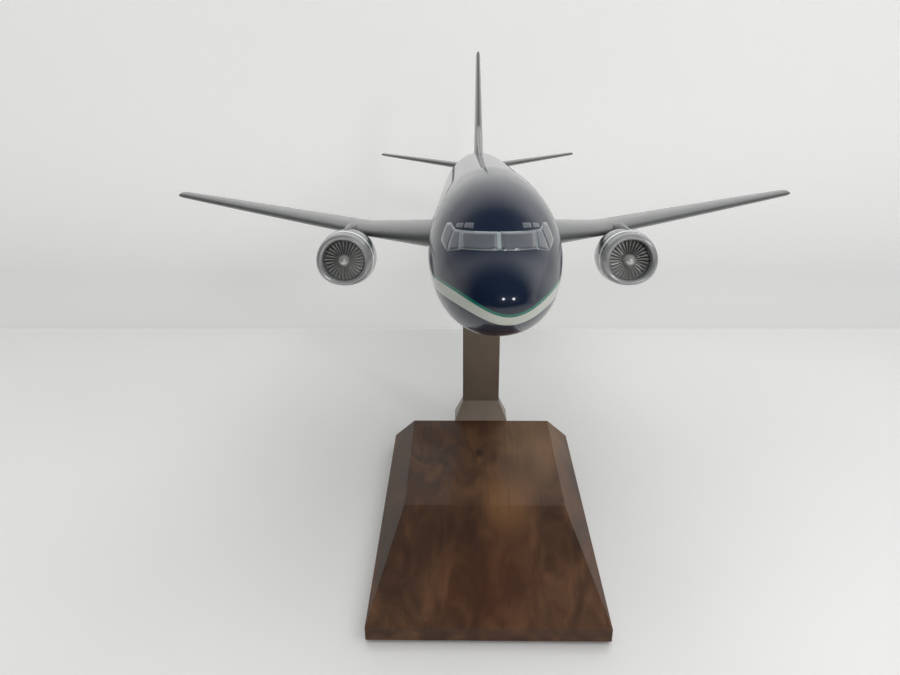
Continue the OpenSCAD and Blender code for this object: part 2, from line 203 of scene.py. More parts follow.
def painted(name, colour, roughness, coat):
    """Sprayed paint: faint colour drift, fine specks in the roughness and a gloss coat."""
    look = Look(name)
    drift = look.noise(look.place, 60, 3)
    fine = look.noise(look.place, 2600, 2)
    tone = look.mix(drift, scaled_colour(colour, 1 - 2 * PAINT_SPECK),
                    scaled_colour(colour, 1 + 2 * PAINT_SPECK))
    tone = look.mix(look.span(fine, 0.35, 0.75, 0, PAINT_SPECK), tone, scaled_colour(colour, 0.6))
    look.set(
        Base_Color=tone,
        Roughness=look.span(drift, 0.2, 0.8, roughness * 0.85, roughness * 1.15),
        Coat_Weight=coat,
        Coat_Roughness=look.span(fine, 0.3, 0.8, 0.02, 0.05),
    )
    return look.material


def metal(name, colour, roughness, metallic=1.0):
    """Worn metal: fine lighter and darker specks over a slow drift of its tone."""
    look = Look(name)
    lines = look.noise(look.scaled((350, 350, 350)), 5, 4, 0.6)
    drift = look.noise(look.place, 90, 2)
    tone = look.mix(lines, scaled_colour(colour, 1 - METAL_STREAK),
                    scaled_colour(colour, 1 + METAL_STREAK))
    tone = look.mix(look.span(drift, 0.4, 0.8, 0, 0.25), tone, scaled_colour(colour, 0.7))
    look.set(
        Base_Color=tone,
        Metallic=metallic,
        Roughness=look.span(lines, 0.3, 0.7, roughness * 0.8, roughness * 1.25),
    )
    return look.material


# ---------------------------------------------------------------- livery

# Teal line and white band: heights, widths and the places where they dip and rise
STRIPE_SIDE = -3.6
STRIPE_DIP = 5.6
STRIPE_DIP_WIDTH = 10.5
STRIPE_SHIFT = 2.6
TEAL_HALF = 0.36
BAND_SIDE = 2.8
BAND_DIP = -0.4
BAND_DIP_WIDTH = 12
DIP_FROM = 42
DIP_FULL = 26
PAINT_EDGE = 0.06
TAIL_RISE = 13
TAIL_RISE_FROM = 205
TAIL_RISE_TO = 318


def livery():
    """Navy gloss hull with a teal line over a white band that dips under the nose."""
    look = Look("hull_paint")
    x, y, z = look.xyz()
    near_nose = look.span(y, DIP_FULL, DIP_FROM, 1, 0)
    across = look.math("SUBTRACT", x, look.math("MULTIPLY", STRIPE_SHIFT, near_nose))

    def dip(width):
        share = look.math("DIVIDE", across, width)
        square = look.math("MULTIPLY", share, share)
        bell = look.math("EXPONENT", look.math("MULTIPLY", square, -1.0))
        return look.math("MULTIPLY", bell, near_nose)

    rise = look.span(y, TAIL_RISE_FROM, TAIL_RISE_TO, 0, TAIL_RISE)
    line = look.math("ADD", rise, STRIPE_SIDE)
    line = look.math("SUBTRACT", line, look.math("MULTIPLY", dip(STRIPE_DIP_WIDTH), STRIPE_DIP))
    above = look.math("SUBTRACT", z, line)
    band = look.math("MULTIPLY_ADD", dip(BAND_DIP_WIDTH), BAND_DIP, BAND_SIDE)
    band_end = look.math("MULTIPLY", look.math("ADD", band, TEAL_HALF), -1.0)
    in_teal = look.span(look.math("ABSOLUTE", above), TEAL_HALF, TEAL_HALF + PAINT_EDGE, 1, 0)
    below = look.span(above, 0.0, -PAINT_EDGE, 0, 1)
    over = look.span(look.math("SUBTRACT", above, band_end), -PAINT_EDGE, 0.0, 0, 1)
    in_white = look.math("MULTIPLY", below, over)
    drift = look.noise(look.place, 0.06, 3)
    fine = look.noise(look.place, 2.4, 2)
    navy = look.mix(drift, scaled_colour(NAVY, 0.85), scaled_colour(NAVY, 1.2))
    white = look.mix(drift, scaled_colour(WHITE, 0.94), WHITE)
    tone = look.mix(in_white, navy, white)
    tone = look.mix(in_teal, tone, TEAL)
    look.set(
        Base_Color=tone,
        Roughness=look.span(drift, 0.2, 0.8, 0.28, 0.36),
        Specular_IOR_Level=0.2,
        Coat_Weight=0.72,
        Coat_IOR=1.6,
        Coat_Roughness=look.span(fine, 0.3, 0.8, 0.008, 0.03),
    )
    return look.material


# Where each colour of a cowl ends, behind its inlet lip
COWL_METAL_END = 3.7
COWL_TEAL_END = 4.4
COWL_WHITE_END = 6.1


def cowl_paint():
    """Grey metallic front, a thin teal line, a thin white band and a dark rear."""
    look = Look("cowl_paint")
    z = look.xyz()[2]
    drift = look.noise(look.place, 0.08, 3)
    flake = look.noise(look.place, 6, 2)
    metallic_grey = srgb(120, 126, 123)
    grey = look.mix(flake, scaled_colour(metallic_grey, 0.85), scaled_colour(metallic_grey, 1.15))
    teal_dark = srgb(20, 42, 39)
    white = look.mix(drift, srgb(206, 212, 208), srgb(226, 230, 228))
    rear = look.mix(drift, srgb(40, 48, 52), srgb(56, 62, 64))
    edge = 0.05
    tone = grey
    for end, colour in ((COWL_METAL_END, teal_dark), (COWL_TEAL_END, white), (COWL_WHITE_END, rear)):
        tone = look.mix(look.span(z, end, end + edge), tone, colour)
    look.set(
        Base_Color=tone,
        Metallic=look.span(z, COWL_METAL_END, COWL_METAL_END + edge, 0.55, 0.0),
        Roughness=look.span(drift, 0.2, 0.8, 0.24, 0.34),
        Coat_Weight=1.0,
        Coat_Roughness=0.03,
    )
    return look.material


# Soft zones of the wood: centre, squeeze along the grain, radius, share and colour
WOOD_ZONES = [
    (9, -2, 0.55, 20, 0.8, srgb(128, 92, 60)), (26, 40, 0.4, 20, 0.8, srgb(130, 98, 68)),
    (-22, -18, 0.8, 24, 0.6, srgb(48, 35, 28)), (4, -44, 0.7, 34, 0.6, srgb(68, 40, 27)),
    (0, 62, 1.0, 14, 0.6, srgb(74, 44, 32)),
]
KNOT = (-1.5, 34.0, 0.5)
KNOT_R = 2.6


def walnut():
    """Varnished walnut: long figure, darker growth lines, pores, a small knot and gloss."""
    look = Look("walnut")
    swirl = look.noise(look.scaled((1, 0.45, 1)), 0.04, 2, 0.5, 0.4)
    figure = look.noise(look.scaled((1, 0.4, 1)), 0.1, 4, 0.5, 0.9)
    lines = look.noise(look.scaled((1, 0.05, 1)), 0.8, 4, 0.55, 0.3)
    pores = look.noise(look.scaled((1, 0.08, 1)), 5, 2, 0.5)
    x, y = look.xyz()[:2]
    tone = look.ramp(figure, [
        (0.30, srgb(60, 43, 32)), (0.47, srgb(76, 53, 39)),
        (0.60, srgb(91, 64, 45)), (0.78, srgb(106, 74, 51)),
    ])
    wander = look.math("MULTIPLY", look.math("SUBTRACT", swirl, 0.5), 40)
    shifted = look.math("ADD", x, wander)

    def reach(across, at_x, at_y, stretch):
        return look.length(look.math("SUBTRACT", across, at_x),
                           look.math("MULTIPLY", look.math("SUBTRACT", y, at_y), stretch))

    for at_x, at_y, stretch, radius, share, colour in WOOD_ZONES:
        zone = look.span(reach(shifted, at_x, at_y, stretch), radius, 0, 0, share)
        tone = look.mix(zone, tone, colour)
    tone = look.mix(look.span(lines, 0.52, 0.75, 0, 0.28), tone, srgb(46, 31, 23))
    tone = look.mix(look.span(pores, 0.62, 0.8, 0, 0.4), tone, srgb(38, 26, 19))
    tone = look.mix(look.span(reach(x, *KNOT), KNOT_R, 0.5, 0, 0.75), tone, srgb(30, 20, 14))
    look.set(
        Base_Color=tone,
        Roughness=look.span(figure, 0.3, 0.7, 0.42, 0.5),
        Specular_IOR_Level=0.12,
        Coat_Weight=0.22,
        Coat_Roughness=look.span(swirl, 0.3, 0.7, 0.08, 0.14),
    )
    look.bump(pores, 0.15, 0.05)
    return look.material


def bronzed():
    """Brown bronzed metal of the strut, with a slow drift and fine darker streaks along its height."""
    look = Look("bronzed_metal")
    drift = look.noise(look.place, 0.09, 3)
    fine = look.noise(look.scaled((1, 1, 0.2)), 3.5, 3)
    tone = look.mix(drift, srgb(118, 104, 90), srgb(138, 125, 111))
    tone = look.mix(look.span(fine, 0.45, 0.8, 0, 0.3), tone, srgb(102, 87, 73))
    look.set(
        Base_Color=tone,
        Metallic=0.35,
        Roughness=look.span(fine, 0.3, 0.7, 0.32, 0.46),
        Coat_Weight=0.3,
        Coat_Roughness=0.15,
    )
    look.bump(fine, 0.1, 0.02)
    return look.material


def backing():
    """Dull metal disc behind a fan, with fine radial lines; its rim is painted lighter as a painted
    highlight standing in for the glints on the fan blades.
    """
    look = Look("fan_backing")
    x, y = look.xyz()[:2]
    reach = look.length(x, y)
    turn = look.math("ARCTAN2", y, x)
    ribs = look.math("SINE", look.math("MULTIPLY", turn, 60))
    # Painted highlight: the disc turns lighter towards its rim, standing in for the glints on the outer
    # third of the fan blades.
    tone = look.mix(look.span(reach, 4.6, 6.0), srgb(72, 69, 67), srgb(160, 160, 158))
    tone = look.mix(look.span(ribs, -0.4, 0.6, 0.0, 0.45), tone, srgb(52, 54, 56))
    look.set(Base_Color=tone, Metallic=0.4, Roughness=look.span(ribs, -1, 1, 0.35, 0.5))
    return look.material


def rubber(name, colour):
    """Dull, finely grained stuff without gloss: rubber, nylon or raw wood."""
    look = Look(name)
    fine = look.noise(look.place, 1400, 4)
    tone = look.mix(fine, scaled_colour(colour, 0.7), scaled_colour(colour, 1.3))
    look.set(Base_Color=tone, Roughness=look.span(fine, 0.3, 0.7, 0.7, 0.9))
    look.bump(fine, 0.3, 0.05)
    return look.material


# ---------------------------------------------------------------- meshes


def link(obj):
    bpy.context.scene.collection.objects.link(obj)


def piece(name, skin, look, body, replaces=(), matrix=BODY, smooth=True):
    """A new mesh from its verts and faces, placed by matrix, riding on a CAD body."""
    verts, faces = skin
    mesh = bpy.data.meshes.new(name)
    bm = bmesh.new()
    made = [bm.verts.new(v) for v in verts]
    for face in faces:
        bm.faces.new([made[i] for i in face])
    bmesh.ops.recalc_face_normals(bm, faces=bm.faces)
    for face in bm.faces:
        face.smooth = smooth
    bm.to_mesh(mesh)
    bm.free()
    obj = bpy.data.objects.new(name, mesh)
    link(obj)
    mesh.materials.append(LOOKS[look])
    obj.matrix_world = matrix
    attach(obj, body)
    if replaces:
        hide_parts(*replaces)
    return obj


def loft(rings, caps=(True, True)):
    """Verts and faces of a closed skin through rings of equal length, capped to their middles."""
    n = len(rings[0])
    verts = [tuple(p) for ring in rings for p in ring]
    faces = []
    for k in range(len(rings) - 1):
        for i in range(n):
            j = (i + 1) % n
            faces.append((k * n + i, k * n + j, (k + 1) * n + j, (k + 1) * n + i))
    for at, wanted in ((0, caps[0]), (len(rings) - 1, caps[1])):
        if wanted:
            verts.append(tuple(np.mean(rings[at], axis=0)))
            for i in range(n):
                faces.append((at * n + i, at * n + (i + 1) % n, len(verts) - 1))
    return verts, faces


def tube(rings):
    """Verts and faces of a skin through rings of equal length, the last joined to the first."""
    n = len(rings[0])
    last = (len(rings) - 1) * n
    verts, faces = loft(rings, (False, False))
    faces += [(last + i, last + (i + 1) % n, (i + 1) % n, i) for i in range(n)]
    return verts, faces


def join(parts):
    """One mesh of many."""
    verts, faces = [], []
    for part_verts, part_faces in parts:
        start = len(verts)
        verts += part_verts
        faces += [tuple(i + start for i in face) for face in part_faces]
    return verts, faces


def turned(outline, steps=96, squash=None):
    """Lathe of [along, radius] points about +Z; squash(angle, radius, along) may flatten it."""
    rings = []
    for along, radius in outline:
        ring = []
        for i in range(steps):
            a = math.tau * i / steps
            r = squash(a, radius, along) if squash else radius
            ring.append((r * math.cos(a), r * math.sin(a), along))
        rings.append(ring)
    return rings


def curve_through(points, per_span):
    """Catmull-Rom curve through 2-D points."""
    p = [np.array(q, float) for q in points]
    p = [2 * p[0] - p[1]] + p + [2 * p[-1] - p[-2]]
    out = []
    for k in range(1, len(p) - 2):
        for s in range(per_span):
            t = s / per_span
            a, b, c, d = p[k - 1], p[k], p[k + 1], p[k + 2]
            out.append(0.5 * (2 * b + (c - a) * t + (2 * a - 5 * b + 4 * c - d) * t**2
                              + (3 * b - a - 3 * c + d) * t**3))
    out.append(p[-2])
    return out


def smooth_fit(xs, ys, at):
    """Monotone cubic through the points, read at the places in at."""
    xs, ys, at = np.array(xs, float), np.array(ys, float), np.array(at, float)
    h, d = np.diff(xs), np.diff(ys) / np.diff(xs)
    m = np.zeros(len(xs))
    for k in range(1, len(xs) - 1):
        if d[k - 1] * d[k] > 0:
            w1, w2 = 2 * h[k] + h[k - 1], h[k] + 2 * h[k - 1]
            m[k] = (w1 + w2) / (w1 / d[k - 1] + w2 / d[k])
    m[0], m[-1] = d[0], d[-1]
    k = np.clip(np.searchsorted(xs, at, side="right") - 1, 0, len(h) - 1)
    t = (at - xs[k]) / h[k]
    return ((2 * t**3 - 3 * t**2 + 1) * ys[k] + (t**3 - 2 * t**2 + t) * h[k] * m[k]
            + (3 * t**2 - 2 * t**3) * ys[k + 1] + (t**3 - t**2) * h[k] * m[k + 1])


# ---------------------------------------------------------------- hull surface

# Distance behind the nose, top, bottom and half width
HULL_FRAMES = [
    (-0.1, -7.0, -7.0, 0.0), (1, -3.6, -10.3, 4.0), (3.5, -1.4, -12.7, 7.2),
    (8, 1.4, -15.6, 10.6), (14, 4.6, -17.8, 13.6), (20.5, 9.2, -19.0, 15.8),
    (27, 13.6, -19.7, 17.2), (35, 17.2, -20.3, 18.3), (45, 19.4, -20.6, 18.8),
    (56, 20.4, -20.6, 18.9), (75, 21.0, -20.6, 18.9), (134, 21.0, -20.6, 18.9),
    (212, 21.0, -20.6, 18.9),
    (235, 20.9, -18.9, 18.4), (255, 20.7, -14.8, 16.7), (275, 20.2, -9.2, 13.7),
    (295, 19.2, -3.0, 9.7), (310, 17.6, 2.8, 6.0), (321, 14.6, 8.4, 2.4),
]
NOSE_TIP = HULL_FRAMES[0][0]
TAIL_END = HULL_FRAMES[-1][0]
FINE_STEPS = 1200
PROFILE_PASSES = 160
_root = np.sqrt(np.array([f[0] for f in HULL_FRAMES]) - NOSE_TIP)
_fine = np.linspace(0, _root[-1], FINE_STEPS)


def _profile(column):
    values = smooth_fit(_root, [f[column] for f in HULL_FRAMES], _fine)
    for _ in range(PROFILE_PASSES):
        values[1:-1] = (values[:-2] + 2 * values[1:-1] + values[2:]) / 4
    return values


_TOP, _BOTTOM, _HALF = (_profile(c) for c in (1, 2, 3))


def hull_section(y):
    """Half width, half height and middle height of the hull at y."""
    root = math.sqrt(max(0.0, y - NOSE_TIP))
    top, bottom, half = (np.interp(root, _fine, v) for v in (_TOP, _BOTTOM, _HALF))
    return half, (top - bottom) / 2, (top + bottom) / 2


def hull_point(y, angle):
    half, high, middle = hull_section(y)
    return Vector((half * math.cos(angle), y, middle + high * math.sin(angle)))


def hull_side(side):
    """Surface of a hull side as (y, z) to point."""
    def at(y, z):
        half, high, middle = hull_section(y)
        share = max(-0.999, min(0.999, (z - middle) / high))
        return Vector((side * half * math.sqrt(1 - share * share), y, z))
    return at


NOSE_HUB = 34


def hull_front(side):
    """Surface of the hull's front as (turn in degrees, z), seen from an upright line at NOSE_HUB."""
    def at(turn, z):
        a = math.radians(turn)
        low, high = 0.0, 60.0
        for _ in range(40):
            reach = (low + high) / 2
            x, y = reach * math.sin(a), NOSE_HUB - reach * math.cos(a)
            half, tall, middle = hull_section(y)
            inside = y > NOSE_TIP and half > 0 and (x / half) ** 2 + ((z - middle) / tall) ** 2 < 1
            low, high = (reach, high) if inside else (low, reach)
        return Vector((side * low * math.sin(a), NOSE_HUB - low * math.cos(a), z))
    return at


def outward(surface, u, v, inside):
    """Normal of a (u, v) surface, pointing away from the point inside."""
    du, dv = 0.02, 0.02
    here = surface(u, v)
    normal = (surface(u + du, v) - here).cross(surface(u, v + dv) - here).normalized()
    return normal if normal.dot(here - inside) > 0 else -normal


# How far patches and lines stand out of a surface and reach into it
PATCH_SINK = 0.12
LINE_LIFT = 0.04
LINE_SINK = 0.1


def patch(surface, outline, inside, lift, rings=4):
    """Thin solid that lies on a (u, v) surface inside a closed (u, v) outline."""
    centre = np.mean(np.array(outline), axis=0)
    shells = []
    for k in range(1, rings + 1):
        shells.append([centre + (np.array(p) - centre) * k / rings for p in outline])

    def raised(p, by):
        return tuple(surface(*p) + outward(surface, *p, inside) * by)

    verts = [raised(centre, lift)] + [raised(p, lift) for shell in shells for p in shell]
    verts += [raised(p, -PATCH_SINK) for p in shells[-1]] + [raised(centre, -PATCH_SINK)]
    n = len(outline)
    faces = [(0, 1 + i, 1 + (i + 1) % n) for i in range(n)]
    for k in range(rings):
        a, b = 1 + k * n, 1 + (k + 1) * n
        faces += [(a + i, b + i, b + (i + 1) % n, a + (i + 1) % n) for i in range(n)]
    last = 1 + rings * n
    faces += [(last + i, last + n, last + (i + 1) % n) for i in range(n)]
    return verts, faces


def ribbon(surface, path, inside, width, closed=False):
    """Thin line that lies on a (u, v) surface along a (u, v) path."""
    points = [surface(*p) for p in path]
    normals = [outward(surface, *p, inside) for p in path]
    n = len(path)
    rings = []
    for i in range(n):
        before = points[i - 1] if closed or i else points[i]
        after = points[(i + 1) % n] if closed or i < n - 1 else points[i]
        across = normals[i].cross((after - before).normalized()) * (width / 2)
        over, under = normals[i] * LINE_LIFT, normals[i] * LINE_SINK
        rings.append([points[i] + across + over, points[i] - across + over,
                      points[i] - across - under, points[i] + across - under])
    return tube(rings) if closed else loft(rings)


def rounded_box(u, v, half_u, half_v, power=4, steps=20):
    out = []
    for i in range(steps):
        c, s = math.cos(math.tau * i / steps), math.sin(math.tau * i / steps)
        out.append((u + half_u * math.copysign(abs(c) ** (2 / power), c),
                    v + half_v * math.copysign(abs(s) ** (2 / power), s)))
    return out


EDGE_STEPS = 8


def subdivided(corners):
    """A closed outline with EDGE_STEPS points along each straight edge."""
    out = []
    for k, a in enumerate(corners):
        b = corners[(k + 1) % len(corners)]
        for s in range(EDGE_STEPS):
            out.append(tuple(p + (q - p) * s / EDGE_STEPS for p, q in zip(a, b)))
    return out


AXIS_POINT = Vector((0, 60, 0))

# ---------------------------------------------------------------- hull and its decals

HULL_ROUND = 112
BARREL_FROM = 56
BARREL_TO = 212
NOSE_RINGS = 80
# Rings of the rounded tail end: distance behind it and share of its size
TAIL_CAP = ((0.5, 0.95), (0.8, 0.8), (0.8, 0.62), (-1.0, 0.55))


def hull():
    nose = [NOSE_TIP + (math.sqrt(BARREL_FROM - NOSE_TIP) * k / NOSE_RINGS) ** 2
            for k in range(1, NOSE_RINGS + 1)]
    middle = list(np.linspace(BARREL_FROM, BARREL_TO, 40))[1:]
    tail = list(np.linspace(BARREL_TO, TAIL_END, 70))[1:]
    rings = []
    for y in nose + middle + tail:
        rings.append([hull_point(y, math.tau * i / HULL_ROUND) for i in range(HULL_ROUND)])
    half, high, mid = hull_section(TAIL_END)
    for back, share in TAIL_CAP:
        rings.append([
            (half * share * math.cos(math.tau * i / HULL_ROUND), TAIL_END + back,
             mid + high * share * math.sin(math.tau * i / HULL_ROUND))
            for i in range(HULL_ROUND)
        ])
    piece("fuselage_skin", loft(rings),
          "hull_paint", "aircraft", ("fuselage_left", "fuselage_right"))


# Distance behind the nose, half width and half height
FAIRING_FRAMES = [
    (100, 6, 3), (106, 13, 8), (116, 17, 11.5), (130, 18.6, 12.8), (148, 18.8, 13),
    (166, 18.8, 13), (186, 17.4, 12), (200, 13.5, 9), (208, 6, 3),
]
FAIRING_Z = -9.5


def belly_fairing():
    """Fairing round the wing join, drawn as soft-cornered sections."""
    ys = np.linspace(FAIRING_FRAMES[0][0], FAIRING_FRAMES[-1][0], 60)
    places = [f[0] for f in FAIRING_FRAMES]
    halves = smooth_fit(places, [f[1] for f in FAIRING_FRAMES], ys)
    highs = smooth_fit(places, [f[2] for f in FAIRING_FRAMES], ys)
    rings = []
    for y, half, high in zip(ys, halves, highs):
        rings.append([(x, y, FAIRING_Z + z) for x, z in rounded_box(0, 0, half, high, 2.3, 72)])
    piece("belly_fairing_skin", loft(rings),
          "hull_paint", "aircraft", ("belly_fairing",))


# Windscreen panes as (turn, height) corners on the left side of the aircraft
PANES = {
    "windscreen_front": [(1.7, 4.25), (28.6, 4.0), (37.2, 7.5), (1.9, 7.6)],
    "windscreen_middle": [(30.6, 3.85), (41.0, 3.1), (46.5, 7.6), (39.2, 7.55)],
    "windscreen_rear": [(43.0, 3.0), (57.5, 5.0), (66.0, 8.6), (59.0, 8.9), (48.4, 7.65)],
    "eyebrow_front": [(25.4, 8.35), (36.0, 8.35), (38.2, 9.4), (27.6, 9.5)],
    "eyebrow_rear": [(38.0, 8.3), (47.5, 8.2), (49.2, 9.1), (40.4, 9.35)],
}
# Centre post between the front panes: half its turn, its foot and its top
POST_TURN = 1.35
POST_LOW = 4.2
POST_HIGH = 7.65
FRAME_TURN = 1.4
FRAME_HIGH = 0.24
CENTRE_GAP = 0.02


def grown(corners, by_turn, by_height):
    """Pane corners moved away from the pane's middle, but not over the hull's centre line."""
    centre = np.mean(np.array(corners), axis=0)
    out = []
    for turn, height in corners:
        out.append((max(CENTRE_GAP, turn + math.copysign(by_turn, turn - centre[0])),
                    height + math.copysign(by_height, height - centre[1])))
    return out


def cockpit_windows():
    for side, word in SIDES:
        surface = hull_front(side)
        frames, glass = [], []
        for name, corners in PANES.items():
            if name.startswith("windscreen"):
                around = grown(corners, FRAME_TURN, FRAME_HIGH)
                frames.append(patch(surface, subdivided(around), AXIS_POINT, 0.04))
            glass.append(patch(surface, subdivided(corners), AXIS_POINT, 0.08))
        piece("windscreen_frame_" + word, join(frames), "pane_frame", "aircraft")
        piece("windscreen_panes_" + word, join(glass), "pane", "aircraft")


def centre_post():
    """Light post between the two front panes."""
    corners = [(-POST_TURN, POST_LOW), (POST_TURN, POST_LOW),
               (POST_TURN, POST_HIGH), (-POST_TURN, POST_HIGH)]
    piece("windscreen_post", patch(hull_front(1), subdivided(corners), AXIS_POINT, 0.1),
          "post_paint", "aircraft")


WINDOW_Z = 4.6
WINDOW_PITCH = 5.08
WINDOW_FROM = 60
WINDOW_COUNT = 41
WINDOW_HALF = (1.15, 1.65)
DOOR_WINDOW_HALF = (0.9, 1.3)
DOOR_WINDOW_UP = 0.45
DOOR_LINE_WIDE = 0.3
# Doors and overwing exits: distance behind the nose, half width, half height and middle height
DOORS = [(47, 4.3, 9.2, -0.6), (272, 4.0, 8.2, 5.4)]
EXITS = [(139, 2.9, 5.4, 2.6)]


def cabin_decals():
    """Rows of cabin windows and the outlines of the doors."""
    for side, word in SIDES:
        surface = hull_side(side)
        windows = []
        for k in range(WINDOW_COUNT):
            y = WINDOW_FROM + k * WINDOW_PITCH
            outline = rounded_box(y, WINDOW_Z, *WINDOW_HALF)
            windows.append(patch(surface, outline, Vector((0, y, 0)), 0.05, 2))
        for y, _, high, z in DOORS:
            outline = rounded_box(y, z + high * DOOR_WINDOW_UP, *DOOR_WINDOW_HALF)
            windows.append(patch(surface, outline, Vector((0, y, 0)), 0.05, 2))
        piece("cabin_windows_" + word, join(windows), "pane", "aircraft")
        lines = []
        for y, half, high, z in DOORS + EXITS:
            outline = rounded_box(y, z, half, high, 8, 48)
            lines.append(ribbon(surface, outline, Vector((0, y, 0)), DOOR_LINE_WIDE, True))
        piece("door_outlines_" + word, join(lines), "pane_frame", "aircraft")


# ---------------------------------------------------------------- wings

WING_ROOT = (10, 106, 69, 0.15)
WING_SIDE = (19, 112.5, 63, 0.155)
WING_KINK = (50, 136, 41, 0.115)
WING_TIP = (144.6, 186, 15, 0.17)
WING_Z = -8.2
DIHEDRAL = math.tan(math.radians(7))
TAIL_ROOT = (2.2, 283, 36, 0.11)
TAIL_TIP = (62, 321, 14, 0.12)
TAIL_Z = 10.4


def half_thick(share, ratio):
    """Half thickness of a rounded wing section of unit chord."""
    return 5 * ratio * (0.2969 * math.sqrt(share) - 0.126 * share - 0.3516 * share**2
                        + 0.2843 * share**3 - 0.1015 * share**4) + 0.003 * share


def between(stations, x):
    """Back, chord and thickness ratio at x, straight between stations."""
    xs = [s[0] for s in stations]
    return [float(np.interp(x, xs, [s[k] for s in stations])) for k in (1, 2, 3)]


WING = (WING_ROOT, WING_SIDE, WING_KINK, WING_TIP)
TAIL = (TAIL_ROOT, TAIL_TIP)


def wing_height(x):
    """Height of the wing's middle line: level inboard, rising outboard, with a soft bend."""
    soft = 4.0
    d = x - WING_KINK[0]
    return WING_Z + DIHEDRAL * (d + math.sqrt(d * d + soft * soft)) / 2


def tail_height(x):
    return TAIL_Z + DIHEDRAL * x


def tip_share(x, tip, depth):
    """Falls from 1 to 0 over the last stretch before the tip, as a quarter of a circle."""
    reach = (x - (tip - depth)) / depth
    return math.sqrt(max(0.0, 1 - reach * reach)) if reach > 0 else 1.0


def blade(stations, height, depth, camber=0.0):
    """A wing surface as (x, share round the section) to point; shares 0-1 are the upper side."""
    tip = stations[-1][0]

    def at(x, share):
        back, chord, ratio = between(stations, min(x, tip))
        upper = share <= 1
        c = share if upper else 2 - share
        round_off = tip_share(x, tip, depth)
        lean = camber * 4 * c * (1 - c) * chord
        inset = (1 - round_off) * depth * 0.45
        y = back + inset + c * (chord - 1.6 * inset)
        z = height(x) + lean + (1 if upper else -1) * half_thick(c, ratio) * chord * round_off
        return Vector((x, y, z))
    return at


WING_TIP_DEPTH = 2.2
TAIL_TIP_DEPTH = 1.4
WING_SURFACE = blade(WING, wing_height, WING_TIP_DEPTH, 0.006)
TAIL_SURFACE = blade(TAIL, tail_height, TAIL_TIP_DEPTH)
CHORD_STEPS = 36


def ease(k, n):
    """Share k of n, crowded towards both ends."""
    return (1 - math.cos(math.pi * k / n)) / 2


def blade_mesh(surface, first, tip, depth, steps):
    xs = list(np.linspace(first, tip - depth, steps)) + [
        tip - depth + depth * math.sin(math.pi / 2 * k / 8) for k in range(1, 9)
    ]
    xs[-1] = tip - depth * 0.002
    rings = []
    for x in xs:
        upper = [surface(x, ease(k, CHORD_STEPS)) for k in range(CHORD_STEPS + 1)]
        lower = [surface(x, 2 - ease(k, CHORD_STEPS)) for k in range(CHORD_STEPS - 1, 0, -1)]
        rings.append(upper + lower)
    return loft(rings)


def mirrored(part, side):
    verts, faces = part
    return [(side * v[0], v[1], v[2]) for v in verts], faces


def stepped(first, last, steps):
    return [first + (last - first) * k / steps for k in range(steps + 1)]


# Control surfaces of a wing: first and last x, and the share of the chord where they hinge
WING_CONTROLS = [(21, 47, 0.72), (58, 100, 0.72), (103, 134, 0.76)]
LINE_WIDE = 0.22


def on_side(share, lower):
    """Share round a section for a share of its chord, on the upper or the lower side."""
    return 2 - share if lower else share


def control_lines(surface, first, last, hinge, edge, inside, lower, ends=None, wide=LINE_WIDE):
    """The hinge line of a control surface and the lines at its ends."""
    hinge, edge = on_side(hinge, lower), on_side(edge, lower)
    lines = [ribbon(surface, [(x, hinge) for x in stepped(first, last, 24)], inside, wide)]
    for x in ends or (first, last):
        path = [(x, share) for share in stepped(hinge, edge, 12)]
        lines.append(ribbon(surface, path, inside, wide))
    return lines


def wings():
    for side, word in SIDES:
        part = blade_mesh(WING_SURFACE, WING_ROOT[0], WING_TIP[0], WING_TIP_DEPTH, 60)
        piece("wing_skin_" + word, mirrored(part, side),
              "wing_paint", "aircraft", ("wing_" + word,))
        lines = []
        for lower in (0, 1):
            inside = Vector((70, 150, 60 if lower else -60))
            for first, last, hinge in WING_CONTROLS:
                lines += control_lines(WING_SURFACE, first, last, hinge, 0.985, inside, lower)
        piece("wing_lines_" + word, mirrored(join(lines), side),
              "line_grey", "aircraft")


# Flap-track fairings: x, front end and length, then their outline as share of length and radius
FLAP_FAIRINGS = [(31, 161, 26), (72, 161, 25), (99, 173, 23)]
FAIRING_SHAPE = [(0, 0.05), (0.03, 0.5), (0.1, 0.95), (0.22, 1.35), (0.38, 1.6),
                 (0.55, 1.55), (0.72, 1.2), (0.86, 0.75), (0.96, 0.3), (1, 0.05)]
FAIRING_DROP = 1.9
FAIRING_TILT = math.radians(-92)


def flap_fairings():
    """Canoe fairings of the flap tracks, under the trailing edge."""
    for side, word in SIDES:
        parts = []
        for x, back, length in FLAP_FAIRINGS:
            outline = [(a * length, r) for a, r in curve_through(FAIRING_SHAPE, 5)]
            place = (Matrix.Translation((x, back, wing_height(x) - FAIRING_DROP))
                     @ Matrix.Rotation(FAIRING_TILT, 4, "X"))
            verts, faces = loft(turned(outline, 28))
            parts.append(([tuple(place @ Vector(v)) for v in verts], faces))
        piece("flap_track_fairings_" + word, mirrored(join(parts), side),
              "wing_paint", "aircraft", ("flap_fairings_" + word,))


# ---------------------------------------------------------------- tail

FIN_SECTIONS = ((15.5, 258, 60, 0.09), (21, 261.5, 57, 0.09), (78.6, 304, 22, 0.1))
FILLET_SECTIONS = ((15.5, 222, 60, 0.025), (21.2, 226, 60, 0.025), (36, 274, 20, 0.08))
FIN_TIP_DEPTH = 2.0
FILLET_TIP_DEPTH = 0.5
TAIL_HINGE = 0.7
TAIL_EDGE = 0.98
RUDDER = (24, 74)
ELEVATOR = (12, 58)
ELEVATOR_LINE = 0.2


def upright(surface):
    """Turns a blade drawn out along X into one that stands up along Z."""
    def at(x, share):
        p = surface(x, share)
        return Vector((p.z, p.y, p.x))
    return at


